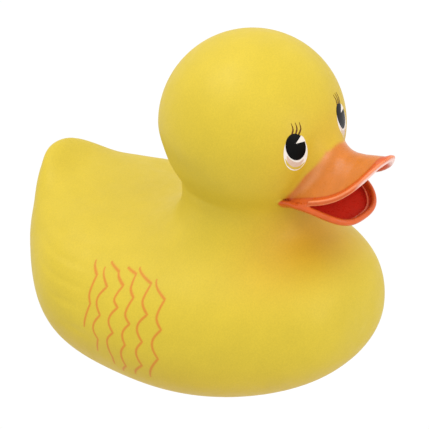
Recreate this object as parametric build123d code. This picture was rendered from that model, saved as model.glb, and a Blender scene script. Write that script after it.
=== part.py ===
from build123d import *
import os
from math import cos, pi, radians, sin

# Floating chlorine dispenser: a hollow soft-vinyl duck that floats, with a
# tablet cartridge screwed up into a sealed well in its flat base.
# Millimetres, +Z up, the duck looks along -Y, the base is the plane z = 0.

os.makedirs("parts", exist_ok=True)

# ---------------------------------------------------------------- dimensions
WALL = 3.0  # vinyl wall

HEAD_CENTRE = (0.0, -32.2, 170.4)
HEAD_R = 57.0
NECK_CENTRE = (0.0, -30.0, 122.0)
NECK_RADII = (46.0, 42.0, 38.0)

# Body stations from breast to tail: y, half width, underside, widest level, top
BREAST_TIP = (-116.0, 56.0)
TAIL_TIP = (132.0, 94.0)
BODY_STATIONS = [
    (-114.4, 20.0, 42.0, 56.0, 71.0),
    (-108.0, 38.0, 29.0, 55.0, 88.0),
    (-94.0, 55.0, 16.0, 52.0, 100.0),
    (-66.0, 75.0, 2.5, 45.5, 107.0),
    (-31.0, 88.0, -6.0, 42.0, 107.0),
    (9.0, 93.0, -9.0, 44.0, 101.0),
    (49.0, 89.0, -9.4, 47.0, 98.0),
    (84.0, 74.0, -1.0, 54.0, 100.0),
    (109.0, 49.0, 18.0, 67.0, 107.0),
    (124.0, 28.0, 47.0, 82.0, 111.0),
    (130.3, 13.0, 72.0, 92.0, 105.0),
]
ROUNDNESS = 2.15  # superellipse exponent of every body section
SECTION_POINTS = 24

# Bill: both rims start at the mouth corners and run forward as superellipses
CORNER_Y = -74.0
CORNER_X = 30.0
CORNER_Z = 141.0
UPPER_LENGTH = 56.0
LOWER_LENGTH = 42.0
RIM_ROUNDNESS = 2.4
BILL_WALL = 3.5
BILL_ROOT_Y = -60.0
BILL_PLUG_R = HEAD_R - 2 * WALL  # the plug stops this far from the head's centre

# Dispenser, about a vertical axis through the flat of the base
AXIS_Y = 12.0
TABLET_R = 38.0
TABLET_H = 25.0
CUP_IN = 39.5
CUP_OUT = 41.5
BORE_R = 43.5
WELL_OUT = 45.5
WELL_NECK = 46.6
OPENING_R = 47.0  # hole through the vinyl base
FLANGE_R = 53.0
SCREW_CIRCLE_R = 50.0
RECESS_R = FLANGE_R + 0.4
PAD_R = 60.0

FLANGE_Z0 = 0.6
FLANGE_Z1 = 4.6
GASKET_Z1 = 5.8
PAD_Z1 = 9.3
CLAMP_Z1 = 15.3
CLAMP_OUT = 57.0
WELL_ROOF = 75.0
WELL_TOP = 77.0
MOUTH_R = 45.2
MOUTH_Z1 = 3.7

SCREW_R = 2.0
SCREW_HEAD_R = 3.3
SCREW_HEAD_H = 1.9
SCREW_TIP_Z = 14.6
SCREW_ANGLES = [60 * k for k in range(6)]

# Three-start coarse thread
STARTS = 3
LEAD = 32.0
RIDGE_SWEEP = 60.0
RIDGE_ROOT_H = 3.4
RIDGE_CREST_H = 1.8
HOUSING_RIDGE_Z = 7.0
RIDGE_GAP = 0.3
CUP_RIDGE_Z = HOUSING_RIDGE_Z + RIDGE_ROOT_H + RIDGE_GAP

# Cup
CUP_Z0 = 1.2
CUP_FLANGE_R = 44.7
CUP_FLANGE_Z1 = 2.7
FLOOR_Z0 = 5.0
FLOOR_Z1 = 7.0
TABLET_Z = 9.5
CUP_TOP = 68.0
SIDE_SLOTS = 12
FLOW_SLOTS = 8
FLOW_SLOT_W = 3.8
FLOW_SLOT_R = (12.0, 28.0)
GRIP_RIBS = 12

# Dial and its rivet
DIAL_R = 30.0
DIAL_Z0 = 3.2
DIAL_Z1 = 4.8
DIAL_BAR_W = 5.0
DIAL_BAR_ANGLE = 22.5
RIVET_R = 3.0
RIVET_FIT = 0.06
HUB_R = 9.0
HUB_RECESS_R = 6.6
HUB_RECESS_Z = 3.45

# Lock slider in the rear of the flange
LOCK_REST_R = (46.9, 52.2)
LOCK_NECK_W = 4.8
LOCK_HEAD_W = 7.8
LOCK_STEP_Z = 1.6
LOCK_TOP_Z = 2.6
LOCK_PLAY = 0.1
NOTCH_R = 43.4


# ------------------------------------------------------------------- helpers
def on_axis(shape):
    """Move a shape made about the origin onto the dispenser's axis."""
    return shape.moved(Location((0, AXIS_Y, 0)))


def turned(points):
    """A solid of revolution from (radius, z) points."""
    outline = Polyline(*[(r, 0, z) for r, z in points], close=True)
    return revolve(make_face(outline), Axis.Z)


def ring(r_in, r_out, z0, z1, bevel=0.0):
    """A flat ring, with its outer edges bevelled if asked."""
    if bevel == 0:
        return turned([(r_in, z0), (r_out, z0), (r_out, z1), (r_in, z1)])
    return turned(
        [(r_in, z0), (r_out - bevel, z0), (r_out, z0 + bevel), (r_out, z1 - bevel),
         (r_out - bevel, z1), (r_in, z1)]
    )


def disc(r, z0, z1, bevel=0.0):
    """A flat disc, which is a ring with no hole."""
    return ring(0.0, r, z0, z1, bevel)


def block(r0, r1, width, z0, z1, angle):
    """A box that runs outwards from r0 to r1 at an angle about the axis."""
    corner = Pos((r0 + r1) / 2, 0, (z0 + z1) / 2)
    return Rot(0, 0, angle) * (corner * Box(r1 - r0, width, z1 - z0))


def radial_slot(r0, r1, width, z0, z1, angle):
    """A round-ended cutter that runs outwards at an angle about the axis."""
    body = block(r0, r1, width, z0, z1, angle)
    for r in (r0, r1):
        end = Pos(r, 0, (z0 + z1) / 2) * Cylinder(width / 2, z1 - z0)
        body += Rot(0, 0, angle) * end
    return body


def save(shape, name):
    """Write one node."""
    shape.label = name
    export_step(shape, f"parts/{name}.step")


# ---------------------------------------------------------- the duck's shape
def body_section(y, half, low, mid, top, inset):
    """One closed cross-section of the body, moved in by the inset."""
    points = []
    for k in range(SECTION_POINTS):
        a = 2 * pi * k / SECTION_POINTS
        ca, sa = cos(a), sin(a)
        reach_x = abs(ca) ** (2 / ROUNDNESS) * (half - inset)
        height = (top - mid if sa > 0 else mid - low) - inset
        reach_z = abs(sa) ** (2 / ROUNDNESS) * height
        points.append((reach_x if ca > 0 else -reach_x, y, mid + (reach_z if sa > 0 else -reach_z)))
    return make_face(Spline(*points, periodic=True))


def body_shape():
    """The body as one smooth loft from the breast to the tail."""
    sections = [body_section(*station, 0.0) for station in BODY_STATIONS]
    return Part() + loft([Vertex(0, *BREAST_TIP), *sections, Vertex(0, *TAIL_TIP)])


def body_hollow():
    """The space inside the body: the same loft one wall smaller, with flat ends."""
    stations = [list(station) for station in BODY_STATIONS]
    stations[0][0] += WALL
    stations[-1][0] -= WALL
    return Part() + loft([body_section(*station, WALL) for station in stations])


def head_and_neck(inset=0.0):
    """The round head and the short neck that it stands on."""
    head = Pos(*HEAD_CENTRE) * Sphere(HEAD_R - inset)
    radii = tuple(r - inset for r in NECK_RADII)
    neck = Pos(*NECK_CENTRE) * scale(Sphere(1.0), by=radii)
    return head + neck


def bill_section(y, half, rim_z, middle_z, thickness):
    """A crescent across the bill: an arched sheet between its two rims."""
    inner_half = half - min(thickness, 0.4 * half)
    lift = thickness if middle_z < rim_z else -thickness
    rim_shift = 0.35 * (middle_z - rim_z)
    knee = 0.62
    outer = Spline(
        (-half, y, rim_z), (-knee * half, y, middle_z - rim_shift * 0.55),
        (0, y, middle_z), (knee * half, y, middle_z - rim_shift * 0.55), (half, y, rim_z),
    )
    inner = Spline(
        (inner_half, y, rim_z), (knee * inner_half, y, middle_z + lift - rim_shift * 0.55),
        (0, y, middle_z + lift), (-knee * inner_half, y, middle_z + lift - rim_shift * 0.55),
        (-inner_half, y, rim_z),
    )
    ends = [Line((half, y, rim_z), (inner_half, y, rim_z)),
            Line((-inner_half, y, rim_z), (-half, y, rim_z))]
    return make_face([outer, ends[0], inner, ends[1]])


def rim_half_width(share):
    """Half width of a rim at a share of its length forward."""
    share = max(share, 0.0)
    return CORNER_X * (1 - share**RIM_ROUNDNESS) ** (1 / RIM_ROUNDNESS)


def upper_section(y):
    """The arched upper bill, whose rim and tip turn up."""
    s = (CORNER_Y - y) / UPPER_LENGTH
    t = max(s, 0.0)
    rim = CORNER_Z + 21 * t - 13 * t**2 + 28 * t**4
    ridge = max(172.5 + ((y + 108) / 9.4) ** 2 if y < -80 else 181.4, rim + 1.2)
    return bill_section(y, rim_half_width(s), rim, ridge, BILL_WALL)


def lower_section(y):
    """The spoon-shaped lower bill."""
    s = (CORNER_Y - y) / LOWER_LENGTH
    t = max(s, 0.0)
    rim = CORNER_Z + 5 * t - 15.5 * t**2
    keel = rim - 15 * (1 - t**2) - 2.5
    return bill_section(y, rim_half_width(s), rim, keel, BILL_WALL)


def bill_shape():
    """Both halves of the bill and the root that plugs into the head."""
    upper = loft([upper_section(y) for y in (-60, -78, -92, -104, -114, -122, -127, -129.6)])
    lower = loft([lower_section(y) for y in (-60, -78, -90, -100, -108, -113, -115.6)])
    root_top = 178.0
    root_low = 123.5
    under = Spline(
        (-CORNER_X, BILL_ROOT_Y, CORNER_Z), (-0.6 * CORNER_X, BILL_ROOT_Y, root_low + 4.5),
        (0, BILL_ROOT_Y, root_low), (0.6 * CORNER_X, BILL_ROOT_Y, root_low + 4.5),
        (CORNER_X, BILL_ROOT_Y, CORNER_Z),
    )
    arch = Spline(
        (CORNER_X, BILL_ROOT_Y, CORNER_Z), (0.6 * CORNER_X, BILL_ROOT_Y, root_top - 8.5),
        (0, BILL_ROOT_Y, root_top), (-0.6 * CORNER_X, BILL_ROOT_Y, root_top - 8.5),
        (-CORNER_X, BILL_ROOT_Y, CORNER_Z),
    )
    root = extrude(make_face([under, arch]), amount=HEAD_R, dir=(0, -1, 0))
    root = root & (Pos(*HEAD_CENTRE) * Sphere(HEAD_R))
    inside = Pos(*HEAD_CENTRE) * Sphere(BILL_PLUG_R)
    return (Part() + root + upper + lower) - inside


def make_duck(bill):
    """The hollow vinyl duck: a thick foot round the opening in its base."""
    above_base = Pos(0, 0, 200) * Box(400, 400, 400)
    outer = (body_shape() + head_and_neck()) & above_base
    inner = (body_hollow() + head_and_neck(WALL)) & (Pos(0, 0, WALL) * above_base)
    hollow = inner - on_axis(disc(PAD_R, 0, PAD_Z1))
    duck = outer - hollow
    duck -= on_axis(disc(RECESS_R, -1, GASKET_Z1))
    duck -= on_axis(disc(OPENING_R, -1, PAD_Z1 + 1))
    for angle in SCREW_ANGLES:
        duck -= on_axis(screw_hole(angle, 0, PAD_Z1 + 1))
    return duck - bill


# ------------------------------------------------------- the clamped housing
def screw_hole(angle, z0, z1, radius=2.2):
    """A plain round hole on the screw circle."""
    hole = Pos(SCREW_CIRCLE_R, 0, (z0 + z1) / 2) * Cylinder(radius, z1 - z0)
    return Rot(0, 0, angle) * hole


def screw(angle):
    """A countersunk screw with a cross recess."""
    z1 = FLANGE_Z0 + SCREW_HEAD_H
    body = turned(
        [(0, FLANGE_Z0), (SCREW_HEAD_R, FLANGE_Z0), (SCREW_HEAD_R, FLANGE_Z0 + 0.4),
         (SCREW_R, z1), (SCREW_R, SCREW_TIP_Z - 0.8), (SCREW_R - 0.8, SCREW_TIP_Z), (0, SCREW_TIP_Z)]
    )
    for turn in (0, 90):
        body -= Rot(0, 0, turn) * Box(3.6, 0.9, 2 * (FLANGE_Z0 + 1.1))
    return Rot(0, 0, angle) * (Pos(SCREW_CIRCLE_R, 0, 0) * body)


def countersink(angle):
    """The seat that a screw head sits in, with a little play."""
    play = 0.05
    z1 = FLANGE_Z0 + SCREW_HEAD_H
    seat = turned(
        [(0, FLANGE_Z0 - 1), (SCREW_HEAD_R + play, FLANGE_Z0 - 1), (SCREW_HEAD_R + play, FLANGE_Z0 + 0.4),
         (2.2, z1), (0, z1)]
    )
    return Rot(0, 0, angle) * (Pos(SCREW_CIRCLE_R, 0, 0) * seat)


def helical_ridge(r_root, r_crest, z_start, start_angle):
    """One thread ridge, lofted through trapezoids that climb with the lead."""
    steps = 8
    faces = []
    for k in range(steps + 1):
        turn = RIDGE_SWEEP * k / steps
        a = radians(start_angle + turn)
        z = z_start + LEAD * turn / 360
        corners = [(r_root, z - RIDGE_ROOT_H / 2), (r_crest, z - RIDGE_CREST_H / 2),
                   (r_crest, z + RIDGE_CREST_H / 2), (r_root, z + RIDGE_ROOT_H / 2)]
        outline = Polyline(*[(r * cos(a), r * sin(a), h) for r, h in corners], close=True)
        faces.append(make_face(outline))
    return loft(faces)


def make_housing():
    """The well: a roofed tube with a clamped flange and a threaded mouth."""
    housing = turned(
        [(BORE_R, MOUTH_Z1), (MOUTH_R, MOUTH_Z1), (MOUTH_R, FLANGE_Z0), (FLANGE_R - 0.5, FLANGE_Z0),
         (FLANGE_R, FLANGE_Z0 + 0.5), (FLANGE_R, FLANGE_Z1), (WELL_NECK, FLANGE_Z1), (WELL_NECK, 19),
         (WELL_OUT, 21), (WELL_OUT, WELL_TOP - 3), (WELL_OUT - 3, WELL_TOP), (0, WELL_TOP),
         (0, WELL_ROOF), (BORE_R - 2, WELL_ROOF), (BORE_R, WELL_ROOF - 2)]
    )
    for k in range(STARTS):
        housing += helical_ridge(BORE_R + 0.8, CUP_OUT + 0.4, HOUSING_RIDGE_Z, 360 / STARTS * k)
    for angle in SCREW_ANGLES:
        housing -= screw_hole(angle, 0, FLANGE_Z1 + 1)
        housing -= countersink(angle)
    groove_neck = block(MOUTH_R - 1, 52.4, LOCK_NECK_W + 2 * LOCK_PLAY, 0, LOCK_STEP_Z, 90)
    groove_head = block(MOUTH_R - 1, 52.4, LOCK_HEAD_W + 2 * LOCK_PLAY, LOCK_STEP_Z, LOCK_TOP_Z + 0.05, 90)
    return on_axis(housing - groove_neck - groove_head)


def make_gasket():
    """The flat seal between the flange and the vinyl foot."""
    seal = ring(OPENING_R, FLANGE_R, FLANGE_Z1, GASKET_Z1)
    for angle in SCREW_ANGLES:
        seal -= screw_hole(angle, FLANGE_Z1 - 1, GASKET_Z1 + 1)
    return on_axis(seal)


def make_clamp(side):
    """Half of the steel ring inside the duck: it backs the screws and is the ballast."""
    clamp = ring(OPENING_R + 0.2, CLAMP_OUT, PAD_Z1, CLAMP_Z1, 0.6)
    half = Pos(side * 60.5, 0, 12) * Box(120, 130, 20)
    clamp = clamp & half
    for angle in SCREW_ANGLES:
        clamp -= screw_hole(angle, PAD_Z1 - 1, CLAMP_Z1 + 1, SCREW_R + 0.02)
    return on_axis(clamp)


def make_lock():
    """The T-shaped lock slider, with a finger ridge underneath."""
    r0, r1 = LOCK_REST_R
    neck = block(r0, r1, LOCK_NECK_W, FLANGE_Z0 + 0.1, LOCK_STEP_Z + 0.05, 90)
    head = block(r0, r1, LOCK_HEAD_W, LOCK_STEP_Z + 0.05, LOCK_TOP_Z, 90)
    slider = neck + head
    for k in range(3):
        slider -= block(r0 + 1.1 + 1.4 * k, r0 + 1.6 + 1.4 * k, LOCK_HEAD_W, 0, FLANGE_Z0 + 0.5, 90)
    return on_axis(slider)


# ------------------------------------------------------------- the cartridge
def flow_slots(z0, z1, first_angle):
    """The ring of radial water slots."""
    cutters = Part()
    for k in range(FLOW_SLOTS):
        angle = first_angle + 360 / FLOW_SLOTS * k
        cutters += radial_slot(*FLOW_SLOT_R, FLOW_SLOT_W, z0, z1, angle)
    return cutters


def make_cup():
    """The slotted basket that holds the tablets and screws into the well."""
    cup = turned(
        [(0, FLOOR_Z0), (CUP_IN - 1, FLOOR_Z0), (CUP_IN - 1, CUP_Z0 + 0.4), (CUP_IN - 0.6, CUP_Z0),
         (CUP_FLANGE_R - 0.4, CUP_Z0), (CUP_FLANGE_R, CUP_Z0 + 0.4), (CUP_FLANGE_R, CUP_FLANGE_Z1),
         (CUP_OUT, CUP_FLANGE_Z1), (CUP_OUT, CUP_TOP - 0.6), (CUP_OUT - 0.6, CUP_TOP),
         (CUP_IN + 0.4, CUP_TOP), (CUP_IN, CUP_TOP - 0.4), (CUP_IN, FLOOR_Z1), (0, FLOOR_Z1)]
    )
    for k in range(STARTS):
        cup += helical_ridge(CUP_OUT - 0.8, BORE_R - 0.3, CUP_RIDGE_Z, 360 / STARTS * k)
    for k in range(4):
        cup += block(14, CUP_IN + 0.5, 2.4, FLOOR_Z1 - 0.5, TABLET_Z, 90 * k)
    for k in range(GRIP_RIBS):
        cup += block(32.5, CUP_IN, 2.6, CUP_Z0 + 0.3, FLOOR_Z0 + 0.5, 360 / GRIP_RIBS * (k + 0.5))
    for k in range(SIDE_SLOTS):
        angle = 360 / SIDE_SLOTS * (k + 0.5)
        cup -= block(CUP_IN - 1.5, CUP_OUT + 1.5, 3.5, 22, 58, angle)
    cup -= flow_slots(FLOOR_Z0 - 1, FLOOR_Z1 + 0.2, 22.5)
    cup -= disc(RIVET_R + 0.02, FLOOR_Z0 - 1, FLOOR_Z1 + 1)
    cup -= block(NOTCH_R, CUP_FLANGE_R + 1, LOCK_HEAD_W + 0.8, 0, CUP_FLANGE_Z1 + 0.01, 90)
    return on_axis(cup)


def make_dial():
    """The flow dial: turned half a pitch, its slots meet the cup's."""
    dial = disc(DIAL_R, DIAL_Z0, DIAL_Z1, 0.3)
    dial += block(-DIAL_R + 2.5, DIAL_R - 2.5, DIAL_BAR_W, CUP_Z0 + 0.1, DIAL_Z0 + 0.2,
                  DIAL_BAR_ANGLE)
    dial += disc(HUB_R, CUP_Z0 + 0.1, DIAL_Z0 + 0.2, 0.4)
    dial -= flow_slots(0, DIAL_Z1 + 1, 0)
    dial -= disc(HUB_RECESS_R, 0, HUB_RECESS_Z)
    dial -= disc(RIVET_R + RIVET_FIT, 0, DIAL_Z1 + 1)
    return on_axis(dial)


def make_rivet():
    """The plastic rivet that holds the dial on, headed at both ends."""
    return on_axis(turned(
        [(0, 1.5), (5.0, 1.5), (5.6, 2.1), (5.6, 2.9), (RIVET_R, 2.9), (RIVET_R, FLOOR_Z1),
         (5.2, FLOOR_Z1), (4.2, 8.6), (0, 8.6)]
    ))


def make_tablet(z0):
    """One pressed tablet with bevelled edges."""
    return on_axis(disc(TABLET_R, z0, z0 + TABLET_H, 1.5))


# ---------------------------------------------------------------- every node
bill = bill_shape()
save(make_duck(bill), "duck_body")
save(bill, "bill")
save(make_housing(), "base_housing")
save(make_gasket(), "flange_gasket")
save(make_clamp(-1), "ballast_clamp_right")
save(make_clamp(1), "ballast_clamp_left")
save(on_axis(Compound([screw(angle) for angle in SCREW_ANGLES])), "clamp_screws")
save(make_lock(), "lock_slider")
save(make_cup(), "tablet_cup")
save(on_axis(ring(CUP_OUT + 0.6, CUP_FLANGE_R - 0.1, CUP_FLANGE_Z1, MOUTH_Z1 - 0.02, 0.2)), "cup_gasket")
save(make_dial(), "flow_dial")
save(make_rivet(), "dial_rivet")
save(on_axis(ring(RIVET_R + 0.1, 5.6, 2.9, HUB_RECESS_Z - 0.03)), "dial_washer")
save(make_tablet(TABLET_Z), "chlorine_tablet_lower")
save(make_tablet(TABLET_Z + TABLET_H), "chlorine_tablet_upper")
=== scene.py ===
import math

import bmesh
import bpy
import numpy as np
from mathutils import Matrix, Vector
from mathutils.bvhtree import BVHTree


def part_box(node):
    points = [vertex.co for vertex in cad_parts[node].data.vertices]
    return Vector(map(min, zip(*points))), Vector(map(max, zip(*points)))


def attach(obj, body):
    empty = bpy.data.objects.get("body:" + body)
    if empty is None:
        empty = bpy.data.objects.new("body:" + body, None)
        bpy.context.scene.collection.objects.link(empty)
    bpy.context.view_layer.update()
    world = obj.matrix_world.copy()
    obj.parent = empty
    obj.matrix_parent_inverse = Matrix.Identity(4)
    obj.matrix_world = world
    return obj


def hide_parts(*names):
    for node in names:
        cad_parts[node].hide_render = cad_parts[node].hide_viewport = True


# The looks of a floating chlorine dispenser shaped as a duck, built round its CAD frame.
# Shape code works in millimetres in the frame's own axes; meshes are made in metres.

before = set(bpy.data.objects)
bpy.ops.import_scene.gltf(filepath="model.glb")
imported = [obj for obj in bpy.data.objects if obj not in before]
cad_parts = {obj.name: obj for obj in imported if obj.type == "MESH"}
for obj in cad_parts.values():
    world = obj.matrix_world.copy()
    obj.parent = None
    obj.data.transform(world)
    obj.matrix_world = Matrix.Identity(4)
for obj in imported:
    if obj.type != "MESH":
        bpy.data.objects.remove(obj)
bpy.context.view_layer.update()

MM = 0.001


def node_points(name):
    """A CAD node's vertices in millimetres."""
    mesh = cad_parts[name].data
    points = np.empty(len(mesh.vertices) * 3)
    mesh.vertices.foreach_get("co", points)
    return points.reshape(-1, 3) / MM


# ---------------------------------------------------------------- the frame's own sizes
BODY_POINTS = node_points("duck_body")
WALL = 3.0
HEAD_R = 57.0
HEAD_TOP = BODY_POINTS[BODY_POINTS[:, 2].argmax()]
HEAD = np.array([0.0, -32.2, HEAD_TOP[2] - HEAD_R])
NECK = np.array([0.0, -32.0, 120.0])
NECK_RADII = np.array([36.0, 35.0, 36.0])  # slimmer than the CAD's, which the blends thicken
CAD_NECK = np.array([0.0, -30.0, 122.0])
CAD_NECK_RADII = np.array([46.0, 42.0, 38.0])
FLANGE_LOW, FLANGE_HIGH = (np.array(corner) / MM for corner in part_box("base_housing"))
AXIS = (FLANGE_LOW + FLANGE_HIGH) / 2
FLANGE_R = (FLANGE_HIGH[0] - FLANGE_LOW[0]) / 2
RECESS_R = FLANGE_R + 0.4
OPENING_R = 47.0
FOOT_R = 60.0
GASKET_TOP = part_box("flange_gasket")[1].z / MM
FOOT_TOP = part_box("ballast_clamp_left")[0].z / MM

# ---------------------------------------------------------------- camera
CAMERA_AZIMUTH = -53.1
CAMERA_ELEVATION = 28.6
CAMERA_DISTANCE = 1.3
CAMERA_LENS = 173.5
CAMERA_TARGET = Vector((0.0, -0.0036, 0.0974))


def make_camera():
    """A long lens from the duck's front right, a little above it."""
    a, e = math.radians(CAMERA_AZIMUTH), math.radians(CAMERA_ELEVATION)
    back = Vector((math.sin(a) * math.cos(e), -math.cos(a) * math.cos(e), math.sin(e)))
    data = bpy.data.cameras.new("camera")
    data.lens = CAMERA_LENS
    camera = bpy.data.objects.new("camera", data)
    camera.location = CAMERA_TARGET + back * CAMERA_DISTANCE
    camera.rotation_euler = (-back).to_track_quat("-Z", "Y").to_euler()
    bpy.context.scene.collection.objects.link(camera)
    bpy.context.scene.camera = camera


make_camera()


# ---------------------------------------------------------------- mesh helpers
def smoothstep(low, high, value):
    """0 below low, 1 above high, and a smooth ramp between."""
    t = np.clip((value - low) / (high - low), 0.0, 1.0)
    return t * t * (3 - 2 * t)


def new_object(name, points, faces):
    """A mesh object from points in millimetres."""
    mesh = bpy.data.meshes.new(name)
    mesh.from_pydata([tuple(p) for p in np.asarray(points) * MM], [], faces)
    mesh.validate()
    made = bpy.data.objects.new(name, mesh)
    bpy.context.scene.collection.objects.link(made)
    return made


def evaluated_mesh(made):
    """The object's mesh with its modifiers applied; the object itself is removed."""
    graph = bpy.context.evaluated_depsgraph_get()
    mesh = bpy.data.meshes.new_from_object(made.evaluated_get(graph))
    bpy.data.objects.remove(made)
    return mesh


def mesh_arrays(mesh):
    """Points in millimetres and the list of edges."""
    points = np.empty(len(mesh.vertices) * 3)
    mesh.vertices.foreach_get("co", points)
    edges = np.empty(len(mesh.edges) * 2, int)
    mesh.edges.foreach_get("vertices", edges)
    return points.reshape(-1, 3) / MM, edges.reshape(-1, 2)


def set_points(mesh, points):
    """Writes points in millimetres back to a mesh."""
    mesh.vertices.foreach_set("co", (points * MM).ravel())
    mesh.update()


def normals_of(mesh):
    """Vertex normals as an array."""
    normals = np.empty(len(mesh.vertices) * 3)
    mesh.vertex_normals.foreach_get("vector", normals)
    return normals.reshape(-1, 3)


def neighbour_mean(points, edges):
    """Each point's mean neighbour."""
    total = np.zeros_like(points)
    for axis in range(3):
        total[:, axis] += np.bincount(edges[:, 0], points[edges[:, 1], axis], len(points))
        total[:, axis] += np.bincount(edges[:, 1], points[edges[:, 0], axis], len(points))
    count = np.bincount(edges.ravel(), minlength=len(points))
    return total / np.maximum(count, 1)[:, None]


def relax(points, edges, rounds, weight=0.5):
    """Plain smoothing; a negative step after each positive one keeps the volume."""
    for _ in range(rounds):
        points = points + weight * (neighbour_mean(points, edges) - points)
        points = points - 1.03 * weight * (neighbour_mean(points, edges) - points)
    return points


def join_meshes(name, meshes):
    """One object from several meshes."""
    whole = bmesh.new()
    for mesh in meshes:
        whole.from_mesh(mesh)
    joined = bpy.data.meshes.new(name)
    whole.to_mesh(joined)
    whole.free()
    made = bpy.data.objects.new(name, joined)
    bpy.context.scene.collection.objects.link(made)
    return made


def ball_mesh(centre, radius, segments=64):
    """A closed sphere."""
    ball = bmesh.new()
    bmesh.ops.create_uvsphere(ball, u_segments=segments, v_segments=segments // 2, radius=radius * MM)
    bmesh.ops.translate(ball, verts=ball.verts, vec=Vector(centre) * MM)
    mesh = bpy.data.meshes.new("ball")
    ball.to_mesh(mesh)
    ball.free()
    return mesh


def drum_mesh(radius, z0, z1, segments=128):
    """A closed upright cylinder about the dispenser's axis."""
    drum = bmesh.new()
    bmesh.ops.create_cone(drum, cap_ends=True, segments=segments, radius1=radius * MM,
                          radius2=radius * MM, depth=(z1 - z0) * MM)
    bmesh.ops.translate(drum, verts=drum.verts, vec=Vector((AXIS[0], AXIS[1], (z0 + z1) / 2)) * MM)
    mesh = bpy.data.meshes.new("drum")
    drum.to_mesh(mesh)
    drum.free()
    return mesh


def remeshed(made, voxel):
    """The closed outer surface of everything in an object, as even quads."""
    modifier = made.modifiers.new("remesh", "REMESH")
    modifier.mode = "VOXEL"
    modifier.voxel_size = voxel * MM
    mesh = evaluated_mesh(made)
    return largest_part(mesh)


def largest_part(mesh):
    """Keeps only the piece of a mesh with the most vertices."""
    work = bmesh.new()
    work.from_mesh(mesh)
    work.verts.ensure_lookup_table()
    seen = np.zeros(len(work.verts), bool)
    best = []
    for start in work.verts:
        if seen[start.index]:
            continue
        seen[start.index] = True
        group, front = [start], [start]
        while front:
            vertex = front.pop()
            for edge in vertex.link_edges:
                other = edge.other_vert(vertex)
                if not seen[other.index]:
                    seen[other.index] = True
                    group.append(other)
                    front.append(other)
        if len(group) > len(best):
            best = group
    keep = set(best)
    bmesh.ops.delete(work, geom=[v for v in work.verts if v not in keep], context="VERTS")
    work.to_mesh(mesh)
    work.free()
    return mesh


def cut(made, *tools):
    """Boolean difference, with each tool mesh in turn."""
    for tool_mesh in tools:
        tool = bpy.data.objects.new("tool", tool_mesh)
        bpy.context.scene.collection.objects.link(tool)
        modifier = made.modifiers.new("cut", "BOOLEAN")
        modifier.operation = "DIFFERENCE"
        modifier.solver = "EXACT"
        modifier.object = tool
        name = made.name
        mesh = evaluated_mesh(made)
        bpy.data.objects.remove(tool)
        made = bpy.data.objects.new(name, mesh)
        bpy.context.scene.collection.objects.link(made)
    return made


def shade_smooth(mesh, angle=None):
    """Smooth shading, with edges sharper than the angle left sharp."""
    mesh.polygons.foreach_set("use_smooth", np.ones(len(mesh.polygons), bool))
    if angle is not None:
        work = bmesh.new()
        work.from_mesh(mesh)
        for edge in work.edges:
            if len(edge.link_faces) == 2 and edge.calc_face_angle() > math.radians(angle):
                edge.smooth = False
        work.to_mesh(mesh)
        work.free()
    mesh.update()


def paint(mesh, name, colours):
    """Stores a colour or a mask at each vertex, for the materials to read."""
    colours = np.asarray(colours, float)
    if colours.ndim == 1:
        layer = mesh.attributes.new(name, "FLOAT", "POINT")
        layer.data.foreach_set("value", colours)
        return
    if colours.shape[1] == 3:
        colours = np.hstack([colours, np.ones((len(colours), 1))])
    layer = mesh.color_attributes.new(name, "FLOAT_COLOR", "POINT")
    layer.data.foreach_set("color", colours.ravel())


def srgb(red, green, blue):
    """A linear colour from 0 to 255 display values."""
    out = []
    for value in (red, green, blue):
        v = value / 255
        out.append(v / 12.92 if v <= 0.04045 else ((v + 0.055) / 1.055) ** 2.4)
    return np.array(out)


# ---------------------------------------------------------------- the duck's skin
SKIN_VOXEL = 1.7
NECK_BLEND_FRONT = 18.0  # reach of the soft join of head and neck
NECK_BLEND_REAR = 13.0
BODY_BLEND_FRONT = 36.0  # and of neck and body, wider at the sides
BODY_BLEND_REAR = 43.0
HEAD_SKIN_GAP = 0.4


def head_distance(p):
    """Distance from the head's sphere, and its gradient."""
    offset = p - HEAD
    length = np.linalg.norm(offset, axis=1)
    return length - HEAD_R, offset / length[:, None]


def neck_distance(p):
    """Near distance from the neck's ellipsoid, and its gradient."""
    q = (p - NECK) / NECK_RADII
    k0 = np.linalg.norm(q, axis=1)
    gradient = q / NECK_RADII
    k1 = np.linalg.norm(gradient, axis=1)
    return (k0 - 1) * k0 / k1, gradient / k1[:, None]


def body_only_tree():
    """A search tree of the body's outer skin, capped under the neck, with nothing inside it."""
    work = bmesh.new()
    work.from_mesh(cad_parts["duck_body"].data)
    bmesh.ops.remove_doubles(work, verts=work.verts, dist=0.00002)
    middle = Vector((0.0, 8.0, 52.0)) * MM
    drop = []
    for face in work.faces:
        centre = face.calc_center_median()
        place = np.array([centre]) / MM
        outward = face.normal.dot(centre - middle) > 0
        on_neck = np.linalg.norm((place[0] - CAD_NECK) / CAD_NECK_RADII) < 1.03
        on_head = head_distance(place)[0][0] < 0.8
        if not outward or on_neck or on_head or place[0][2] > 118 or place[0][2] < 0.2:
            drop.append(face)
    bmesh.ops.delete(work, geom=drop, context="FACES")
    rim = [e for e in work.edges if e.is_boundary and min(v.co.z for v in e.verts) > 60 * MM]
    filled = bmesh.ops.holes_fill(work, edges=rim, sides=0)
    bmesh.ops.triangulate(work, faces=filled["faces"])
    bmesh.ops.scale(work, verts=work.verts, vec=Vector((1, 1, 1)) / MM)
    tree = BVHTree.FromBMesh(work)
    work.free()
    return tree


def body_distance(tree, p):
    """Signed distance from the body's skin, and its gradient."""
    distance = np.empty(len(p))
    gradient = np.empty((len(p), 3))
    for i, point in enumerate(p):
        place, normal, _, gap = tree.find_nearest(Vector(point))
        offset = point - np.array(place)
        side = 1.0 if offset @ np.array(normal) >= 0 else -1.0
        distance[i] = side * gap
        gradient[i] = side * offset / gap if gap > 0.6 else np.array(normal)
    return distance, gradient


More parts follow.
